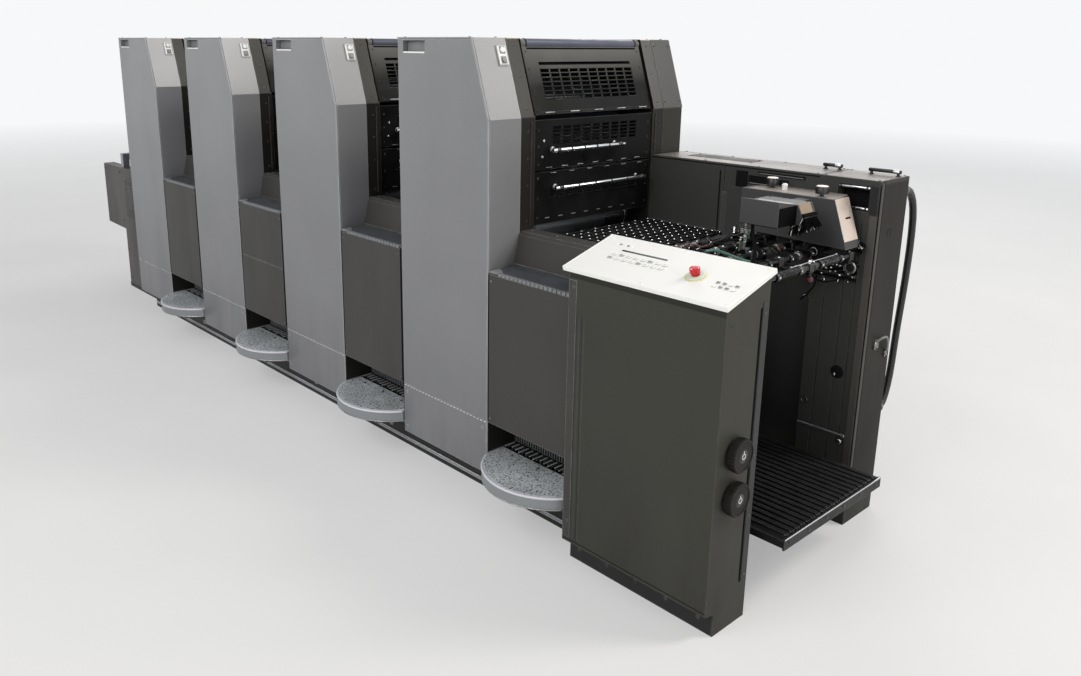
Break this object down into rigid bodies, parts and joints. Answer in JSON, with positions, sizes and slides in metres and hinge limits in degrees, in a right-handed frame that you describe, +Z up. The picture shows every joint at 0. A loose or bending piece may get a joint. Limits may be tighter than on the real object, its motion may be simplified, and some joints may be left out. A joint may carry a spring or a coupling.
{
  "type": "offset printing press",
  "caption": "Sheet-fed offset printing press with a row of tower-shaped printing units, hinged guards, footboards, feeder, and a delivery with a console and a lifting pile board.",
  "frame": {"origin": "on the floor, on the centre line between the side frames, midway along the row of printing units", "axes": "+X towards the delivery, +Y towards the drive side, +Z up; the operator's side faces -Y"},
  "size_m": [5.0811, 1.2754, 1.6],
  "materials": {
    "tower_grey": "satin",
    "frame_dark": "satin",
    "plinth_black": "satin",
    "cover_grey": "satin",
    "drive_grey": "satin",
    "guard_black": "satin",
    "cylinder_steel": "polished",
    "roller_rubber": "matte",
    "footboard_aluminium": "speckled anti-slip",
    "housing_dark": "satin",
    "head_grey": "satin",
    "console_paint": "satin",
    "panel_white": "gloss",
    "stop_red": "gloss",
    "dial_black": "matte",
    "cable_black": "matte",
    "rod_steel": "ground",
    "board_black": "satin",
    "feeder_paint": "satin",
    "table_steel": "brushed",
    "pile_wood": "raw",
    "head_aluminium": "satin"
  },
  "bodies": {
    "press": {"base_plinth": "plinth_black", "side_frames": "frame_dark", "link_plates": "plinth_black", "operator_tower_1": "tower_grey", "operator_tower_2": "tower_grey", "operator_tower_3": "tower_grey", "operator_tower_4": "tower_grey", "drive_towers": "drive_grey", "unit_hoods": "guard_black", "printing_cylinders": "cylinder_steel", "ink_rollers": "roller_rubber", "transfer_drums": "cylinder_steel", "gap_covers": "guard_black", "infill_covers": "cover_grey", "footboards": "footboard_aluminium", "delivery_front_cover": "cover_grey", "delivery_operator_frame": "plinth_black", "delivery_housing": "housing_dark", "delivery_column": "housing_dark", "delivery_grid": "guard_black", "delivery_rods": "rod_steel", "delivery_head_front": "head_grey", "delivery_head_rear": "head_grey", "lift_frame": "rod_steel", "console_box": "console_paint", "control_panel": "panel_white", "cable_run": "cable_black", "feeder_sides": "feeder_paint", "feeder_frame": "plinth_black", "feed_table": "table_steel", "feeder_pile_board": "pile_wood", "suction_head": "head_aluminium"},
    "ink_guard_1": {"ink_guard_1": "guard_black"},
    "ink_guard_2": {"ink_guard_2": "guard_black"},
    "ink_guard_3": {"ink_guard_3": "guard_black"},
    "ink_guard_4": {"ink_guard_4": "guard_black"},
    "plate_guard_1": {"plate_guard_1": "guard_black"},
    "plate_guard_2": {"plate_guard_2": "guard_black"},
    "plate_guard_3": {"plate_guard_3": "guard_black"},
    "plate_guard_4": {"plate_guard_4": "guard_black"},
    "blanket_guard_1": {"blanket_guard_1": "guard_black"},
    "blanket_guard_2": {"blanket_guard_2": "guard_black"},
    "blanket_guard_3": {"blanket_guard_3": "guard_black"},
    "blanket_guard_4": {"blanket_guard_4": "guard_black"},
    "delivery_pile_board": {"delivery_pile_board": "board_black"},
    "emergency_stop": {"emergency_stop": "stop_red"},
    "console_dial_upper": {"console_dial_upper": "dial_black"},
    "console_dial_lower": {"console_dial_lower": "dial_black"}
  },
  "joints": [
    {"name": "ink_guard_1_hinge", "type": "hinge", "parent": "press", "child": "ink_guard_1", "pos_m": [-1.20082, 0, 1.5817], "axis": [0, -1, 0], "range_deg": [0, 80]},
    {"name": "plate_guard_1_hinge", "type": "hinge", "parent": "press", "child": "plate_guard_1", "pos_m": [-1.12, 0, 1.325], "axis": [0, -1, 0], "range_deg": [0, 80]},
    {"name": "blanket_guard_1_hinge", "type": "hinge", "parent": "press", "child": "blanket_guard_1", "pos_m": [-1.12, 0, 0.987], "axis": [0, 1, 0], "range_deg": [0, 80]},
    {"name": "ink_guard_2_hinge", "type": "hinge", "parent": "press", "child": "ink_guard_2", "pos_m": [-0.30082, 0, 1.5817], "axis": [0, -1, 0], "range_deg": [0, 80]},
    {"name": "plate_guard_2_hinge", "type": "hinge", "parent": "press", "child": "plate_guard_2", "pos_m": [-0.22, 0, 1.325], "axis": [0, -1, 0], "range_deg": [0, 80]},
    {"name": "blanket_guard_2_hinge", "type": "hinge", "parent": "press", "child": "blanket_guard_2", "pos_m": [-0.22, 0, 0.987], "axis": [0, 1, 0], "range_deg": [0, 80]},
    {"name": "ink_guard_3_hinge", "type": "hinge", "parent": "press", "child": "ink_guard_3", "pos_m": [0.59918, 0, 1.5817], "axis": [0, -1, 0], "range_deg": [0, 80]},
    {"name": "plate_guard_3_hinge", "type": "hinge", "parent": "press", "child": "plate_guard_3", "pos_m": [0.68, 0, 1.325], "axis": [0, -1, 0], "range_deg": [0, 80]},
    {"name": "blanket_guard_3_hinge", "type": "hinge", "parent": "press", "child": "blanket_guard_3", "pos_m": [0.68, 0, 0.987], "axis": [0, 1, 0], "range_deg": [0, 80]},
    {"name": "ink_guard_4_hinge", "type": "hinge", "parent": "press", "child": "ink_guard_4", "pos_m": [1.49918, 0, 1.5817], "axis": [0, -1, 0], "range_deg": [0, 80]},
    {"name": "plate_guard_4_hinge", "type": "hinge", "parent": "press", "child": "plate_guard_4", "pos_m": [1.58, 0, 1.325], "axis": [0, -1, 0], "range_deg": [0, 80]},
    {"name": "blanket_guard_4_hinge", "type": "hinge", "parent": "press", "child": "blanket_guard_4", "pos_m": [1.58, 0, 0.987], "axis": [0, 1, 0], "range_deg": [0, 80]},
    {"name": "pile_board_lift", "type": "slide", "parent": "press", "child": "delivery_pile_board", "axis": [0, 0, 1], "range_m": [-0.06, 0.5]},
    {"name": "emergency_stop_press", "type": "slide", "parent": "press", "child": "emergency_stop", "axis": [0, 0.289, -0.9573], "range_m": [0, 0.005]},
    {"name": "console_dial_upper_turn", "type": "hinge", "parent": "press", "child": "console_dial_upper", "pos_m": [2.544, -0.483, 0.538], "axis": [1, 0, 0], "range_deg": [-150, 150]},
    {"name": "console_dial_lower_turn", "type": "hinge", "parent": "press", "child": "console_dial_lower", "pos_m": [2.544, -0.483, 0.411], "axis": [1, 0, 0], "range_deg": [-150, 150]}
  ]
}
